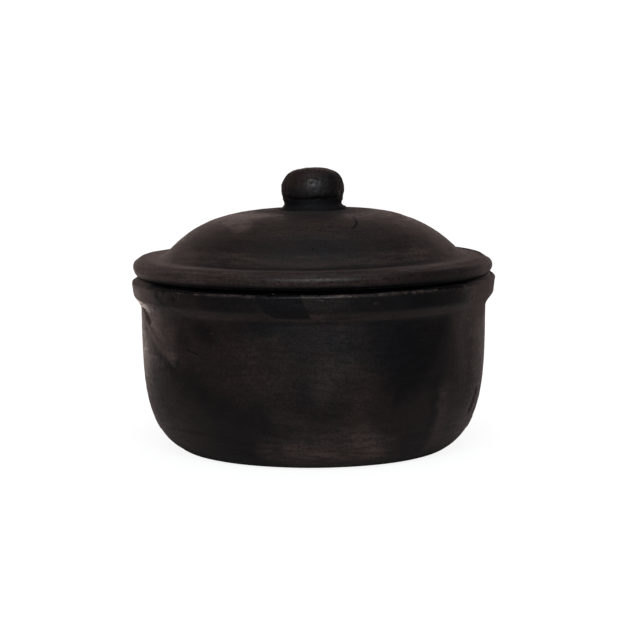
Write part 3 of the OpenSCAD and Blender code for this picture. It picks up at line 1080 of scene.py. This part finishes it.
def make_pieces():
    """The five clay pieces, one for each CAD node."""
    wall_clay = clay("wall_clay", climb=1, roughness=0.46, stroke_length=0.16, stroke_depth=0.3,
                     stroke_tone=0.07, grain_depth=0.6, dark_marks=marks_on(wall_point, WALL_DARK_MARKS),
                     light_marks=marks_on(wall_point, WALL_LIGHT_MARKS))
    lid_clay = clay("lid_clay", climb=-1, roughness=0.52, stroke_length=0.22, stroke_depth=0.45,
                    stroke_tone=0.12, grain_depth=0.8, dark_marks=marks_on(lid_point, LID_DARK_MARKS),
                    light_marks=marks_on(lid_point, LID_LIGHT_MARKS))
    knob_clay = clay("knob_clay", climb=1, roughness=0.43, stroke_length=0.5, stroke_depth=0.3,
                     stroke_tone=0.08, grain_depth=1.0, sheen=0.0)
    plain_clay = clay("plain_clay", climb=1, roughness=0.75, stroke_length=0.3, stroke_depth=0.6,
                      stroke_tone=0.1, grain_depth=0.6)
    wall_masks = {"smoke_and_shade": wall_smoke_and_shade, "warm": wall_warm, "dust_and_light": wall_dust_and_light, "shine": wall_shine}
    lid_masks = {"smoke_and_shade": lid_smoke_and_shade, "warm": lid_warm, "dust_and_light": lid_dust_and_light, "shine": lid_shine}
    knob_masks = {"smoke_and_shade": knob_smoke_and_shade, "warm": knob_warm, "dust_and_light": none, "shine": knob_shine}
    ring_masks = {"smoke_and_shade": none, "warm": none, "dust_and_light": none, "shine": none}
    finished(turned("bowl_clay", bowl_outline(), 600, bowl_shape, wall_masks),
             "pot", "bowl", wall_clay)
    finished(turned("rim_collar_clay", collar_outline(), 900, collar_shape, wall_masks),
             "pot", "rim_collar", wall_clay)
    finished(turned("lid_shell_clay", lid_outline(), 600, lid_shape, lid_masks),
             "lid", "lid_shell", lid_clay)
    finished(turned("lid_locating_ring_clay", ring_outline(), 480, ring_shape, ring_masks),
             "lid", "lid_locating_ring", plain_clay)
    finished(turned("lid_knob_clay", knob_outline(), 240, knob_shape, knob_masks),
             "lid", "lid_knob", knob_clay)


# ---- studio

# The camera that fits the photo: metres, degrees, and a focal length in widths of the picture
CAMERA_DISTANCE = 1.300
CAMERA_HEIGHT = 0.236
CAMERA_SIDE = -0.0005
CAMERA_PITCH = 6.742
CAMERA_ROLL = -0.35
FOCAL_WIDTHS = 3.4336
LIGHTS_AIM_Z = 0.1


def make_camera():
    """The camera at the photo's viewing angle."""
    data = bpy.data.cameras.new("camera")
    data.sensor_width = 36
    data.lens = data.sensor_width * FOCAL_WIDTHS
    data.clip_start, data.clip_end = 0.05, 100
    camera = bpy.data.objects.new("camera", data)
    bpy.context.scene.collection.objects.link(camera)
    camera.location = (CAMERA_SIDE, -CAMERA_DISTANCE, CAMERA_HEIGHT)
    camera.rotation_mode = "QUATERNION"
    level = Quaternion((1, 0, 0), math.radians(90 - CAMERA_PITCH))
    camera.rotation_quaternion = level @ Quaternion((0, 0, 1), math.radians(CAMERA_ROLL))
    bpy.context.scene.camera = camera


def area_light(name, azimuth, elevation, distance, width, height, watts, colour):
    """A soft box that faces the middle of the pot. Azimuth 0 is in front (-Y), 90 at the right (+X)."""
    data = bpy.data.lights.new(name, "AREA")
    data.shape = "RECTANGLE"
    data.size, data.size_y = width, height
    data.energy = watts
    data.color = colour
    light = bpy.data.objects.new(name, data)
    bpy.context.scene.collection.objects.link(light)
    a, e = math.radians(azimuth), math.radians(elevation)
    out = Vector((math.sin(a) * math.cos(e), -math.cos(a) * math.cos(e), math.sin(e)))
    light.location = Vector((0, 0, LIGHTS_AIM_Z)) + out * distance
    light.rotation_mode = "QUATERNION"
    light.rotation_quaternion = out.to_track_quat("Z", "Y")


def make_lights():
    """A soft box in front and a larger one above."""
    area_light("key", azimuth=0, elevation=27, distance=1.6, width=0.95, height=0.6, watts=12.5,
               colour=(0.86, 0.93, 1.0))
    area_light("top", azimuth=0, elevation=85, distance=1.8, width=1.8, height=1.8, watts=5.5,
               colour=(0.96, 0.96, 1.0))


WHITE = (1, 1, 1, 1)
WARM_WHITE = (1.0, 0.79, 0.73, 1)
SWEEP_LIGHT = 1.1
ROOM_LIGHT = 0.05


def make_world():
    """A white sweep behind the pot, a dim room round the rest of it, and plain white for the camera."""
    world = bpy.data.worlds.new("studio")
    bpy.context.scene.world = world
    world.use_nodes = True
    tree = world.node_tree
    direction = add(tree, "ShaderNodeTexCoord").outputs["Generated"]
    parts = add(tree, "ShaderNodeSeparateXYZ", {0: direction})
    sweep = math_node(tree, "MULTIPLY", ramp(tree, parts.outputs[1], 0.5, 0.97),
                      ramp(tree, parts.outputs[2], 0.65, 0.04))
    room = math_node(tree, "MULTIPLY_ADD", sweep, SWEEP_LIGHT, ROOM_LIGHT)
    seen = add(tree, "ShaderNodeLightPath").outputs["Is Camera Ray"]
    strength = math_node(tree, "MAXIMUM", room, seen)
    tree.links.new(strength, tree.nodes["Background"].inputs["Strength"])
    colour = mix(tree, seen, WARM_WHITE, WHITE)
    tree.links.new(colour, tree.nodes["Background"].inputs["Color"])


# The floor's half side in metres, its paleness, and how brightly its parts glow
FLOOR_HALF = 30
FLOOR_ALBEDO = 0.3
FLOOR_GLOW_NEAR = 0.2
FLOOR_GLOW_FAR = 0.06
FLOOR_GLOW_BEHIND = 2.3
FLOOR_GLOW_FAR_BEHIND = 1.0
FLOOR_SEEN_IN_PAINTED_SHADOW = 0.90


def make_floor():
    """A pale floor that glows. It looks white to the camera, apart from a painted shadow round the foot, and
    throws less light than that onto the pot, with a painted shadow close round the foot.
    """
    mesh = bpy.data.meshes.new("floor")
    h = FLOOR_HALF
    mesh.from_pydata([(-h, -h, 0), (h, -h, 0), (h, h, 0), (-h, h, 0)], [], [(0, 1, 2, 3)])
    floor = bpy.data.objects.new("floor", mesh)
    bpy.context.scene.collection.objects.link(floor)
    material = bpy.data.materials.new("pale_floor")
    material.use_nodes = True
    tree = material.node_tree
    shader = tree.nodes["Principled BSDF"]
    shader.inputs["Base Color"].default_value = (FLOOR_ALBEDO, FLOOR_ALBEDO, FLOOR_ALBEDO, 1)
    shader.inputs["Roughness"].default_value = 1.0
    shader.inputs["Specular IOR Level"].default_value = 0.0
    place = add(tree, "ShaderNodeTexCoord").outputs["Object"]
    distance = add(tree, "ShaderNodeVectorMath", {0: place}, operation="LENGTH").outputs["Value"]
    thrown = ramp(tree, distance, 0.1, 0.26, FLOOR_GLOW_NEAR, FLOOR_GLOW_FAR)
    # painted shadow: the floor throws almost no light close round the foot
    thrown = math_node(tree, "MULTIPLY", thrown, ramp(tree, distance, 0.08, 0.115, 0.02, 1.0))
    depth = add(tree, "ShaderNodeSeparateXYZ", {0: place}).outputs[1]
    behind = math_node(tree, "MULTIPLY", ramp(tree, depth, 0.1, 0.5, 0.0, FLOOR_GLOW_BEHIND),
                       ramp(tree, distance, 0.55, 1.0, 1.0, 0.03))
    far = math_node(tree, "MULTIPLY", ramp(tree, depth, 1.2, 2.0, 0.0, FLOOR_GLOW_FAR_BEHIND),
                    ramp(tree, distance, 6.0, 12.0, 1.0, 0.3))
    thrown = math_node(tree, "ADD", thrown, math_node(tree, "ADD", behind, far))
    # painted shadow round the foot, as the camera sees the floor
    seen = ramp(tree, distance, 0.08, 0.3, FLOOR_SEEN_IN_PAINTED_SHADOW, 1.0)
    camera_ray = add(tree, "ShaderNodeLightPath").outputs["Is Camera Ray"]
    glow = math_node(tree, "MULTIPLY_ADD", camera_ray, math_node(tree, "SUBTRACT", seen, thrown), thrown)
    tree.links.new(glow, shader.inputs["Emission Strength"])
    tree.links.new(mix(tree, camera_ray, WARM_WHITE, WHITE), shader.inputs["Emission Color"])
    mesh.materials.append(material)


make_camera()
make_lights()
make_world()
make_floor()
make_pieces()
bpy.context.scene.view_settings.view_transform = "Standard"
